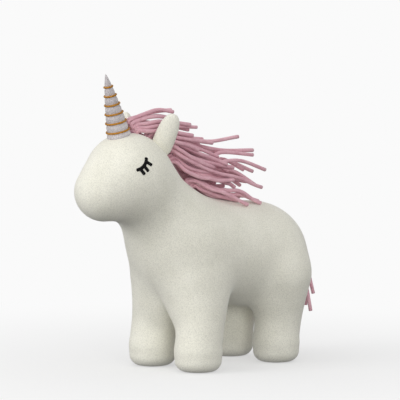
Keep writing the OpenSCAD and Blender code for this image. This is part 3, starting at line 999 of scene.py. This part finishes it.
strip("crest_tape_felt", (0, -109, 282.0), (0, -62, 264.0), 5, "crest_tape", "head")
strip("withers_tape_felt", (0, -30, 230.0), (0, 2, 212.0), 5, "withers_tape", "body")


PATCH_RINGS = ((3.5, 0.95), (5.6, 0.8), (6.3, 0.3), (6.3, -1.0))
PATCH_TOP, PATCH_BOTTOM, PATCH_TURNS = 0.9, -1.5, 32


def tail_patch():
    """A round patch of felt on the skin, which the tail's knot is sewn to."""
    verts = []
    spot = settle(TAIL_KNOT[None] - [[0, 8, 2]], 0)[0]
    n = normals(spot[None])[0]
    u = np.cross(n, [1, 0, 0])
    u /= np.linalg.norm(u)
    v = np.cross(n, u)
    for r, h in PATCH_RINGS:
        for a in turn_angles(PATCH_TURNS):
            verts.append(spot + r * math.cos(a) * u + r * math.sin(a) * v + h * n)
    verts += [spot + PATCH_TOP * n, spot + PATCH_BOTTOM * n]
    faces = turned_out(capped_faces(len(PATCH_RINGS), PATCH_TURNS))
    piece = add_mesh("tail_patch_felt", verts, faces, body_felt)
    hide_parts("tail_tab")
    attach(piece, "body")


tail_patch()


# ---------- floor, light and camera ----------
WHITE = 0.956
SKY = 0.86
LENS, SENSOR = 226.8, 36


def set_range(node, *values):
    for name, value in zip(("From Min", "From Max", "To Min", "To Max"), values):
        node.inputs[name].default_value = value


def floor():
    """A pale floor that blends into the white behind it. It glows more the further it lies from the toy, so
    the dimmer floor round the toy is a painted soft shadow.
    """
    half, below = 40.0, -0.0003
    corners = [(x * half, y * half, below) for x, y in ((-1, -1), (1, -1), (1, 1), (-1, 1))]
    mesh = bpy.data.meshes.new("floor")
    mesh.from_pydata(corners, [], [(0, 1, 2, 3)])
    obj = bpy.data.objects.new("floor", mesh)
    bpy.context.scene.collection.objects.link(obj)
    obj.visible_diffuse = False
    obj.visible_glossy = False
    material = bpy.data.materials.new("pale_floor")
    material.use_nodes = True
    tree = material.node_tree
    shader, surface = tree.nodes["Principled BSDF"], tree.nodes["Material Output"]
    shader.inputs["Base Color"].default_value = (0.9, 0.9, 0.9, 1)
    shader.inputs["Roughness"].default_value = 1.0
    shader.inputs["Specular IOR Level"].default_value = 0.0
    place = tree.nodes.new("ShaderNodeTexCoord")
    length = tree.nodes.new("ShaderNodeVectorMath")
    length.operation = "LENGTH"
    # Painted shadow: near the middle the floor is half lit, half glowing; by 0.7 m out it only glows, so the
    # floor round the toy is painted darker.
    painted_shadow_fade = tree.nodes.new("ShaderNodeMapRange")
    mix = tree.nodes.new("ShaderNodeMixShader")
    painted_glow = tree.nodes.new("ShaderNodeEmission")
    painted_shadow_fade.interpolation_type = "SMOOTHSTEP"
    set_range(painted_shadow_fade, 0.05, 0.7, 0.5, 1.0)
    painted_glow.inputs["Color"].default_value = (WHITE, WHITE, WHITE, 1)
    tree.links.new(place.outputs["Object"], length.inputs[0])
    tree.links.new(length.outputs["Value"], painted_shadow_fade.inputs["Value"])
    tree.links.new(painted_shadow_fade.outputs["Result"], mix.inputs["Fac"])
    tree.links.new(shader.outputs[0], mix.inputs[1])
    tree.links.new(painted_glow.outputs[0], mix.inputs[2])
    tree.links.new(mix.outputs[0], surface.inputs["Surface"])
    mesh.materials.append(material)


def area_light(name, place, power, size):
    data = bpy.data.lights.new(name, "AREA")
    data.energy, data.size = power, size
    light = bpy.data.objects.new(name, data)
    light.location = place
    light.rotation_euler = (Vector((0, 0, 0.15)) - Vector(place)).to_track_quat("-Z", "Y").to_euler()
    bpy.context.scene.collection.objects.link(light)


VIEW_AZIMUTH, VIEW_ELEVATION, VIEW_DISTANCE = math.radians(46), math.radians(4), 3.0
VIEW_TARGET = Vector((-0.0107, 0.0189, 0.1954))


def camera():
    data = bpy.data.cameras.new("camera")
    data.lens, data.sensor_width = LENS, SENSOR
    data.clip_start, data.clip_end = 0.1, 200
    cam = bpy.data.objects.new("camera", data)
    level, rise = math.cos(VIEW_ELEVATION), math.sin(VIEW_ELEVATION)
    towards = Vector((level * math.sin(VIEW_AZIMUTH), -level * math.cos(VIEW_AZIMUTH), rise))
    cam.location = VIEW_TARGET + VIEW_DISTANCE * towards
    cam.rotation_euler = (-towards).to_track_quat("-Z", "Y").to_euler()
    bpy.context.scene.collection.objects.link(cam)
    bpy.context.scene.camera = cam


def world():
    """White to the eye; as light it is bright above the horizon and dim below it."""
    made = bpy.data.worlds.new("studio")
    made.use_nodes = True
    tree = made.node_tree
    tree.nodes.clear()
    out_node = tree.nodes.new("ShaderNodeOutputWorld")
    seen = tree.nodes.new("ShaderNodeBackground")
    lit = tree.nodes.new("ShaderNodeBackground")
    mix = tree.nodes.new("ShaderNodeMixShader")
    path = tree.nodes.new("ShaderNodeLightPath")
    seen.inputs["Color"].default_value = (1, 1, 1, 1)
    seen.inputs["Strength"].default_value = WHITE
    place = tree.nodes.new("ShaderNodeTexCoord")
    split = tree.nodes.new("ShaderNodeSeparateXYZ")
    shift = tree.nodes.new("ShaderNodeMapRange")
    tree.links.new(place.outputs["Generated"], split.inputs[0])
    tree.links.new(split.outputs["Z"], shift.inputs["Value"])
    set_range(shift, -0.15, 0.15, 0.2, SKY)
    tree.links.new(shift.outputs["Result"], lit.inputs["Strength"])
    tree.links.new(path.outputs["Is Camera Ray"], mix.inputs["Fac"])
    tree.links.new(lit.outputs[0], mix.inputs[1])
    tree.links.new(seen.outputs[0], mix.inputs[2])
    tree.links.new(mix.outputs[0], out_node.inputs["Surface"])
    bpy.context.scene.world = made


floor()
camera()
world()
area_light("key", (-0.9, -2.8, 1.1), 36, 1.6)
area_light("fill", (2.3, -1.7, 0.5), 34, 1.8)
bpy.context.scene.view_settings.view_transform = "Standard"
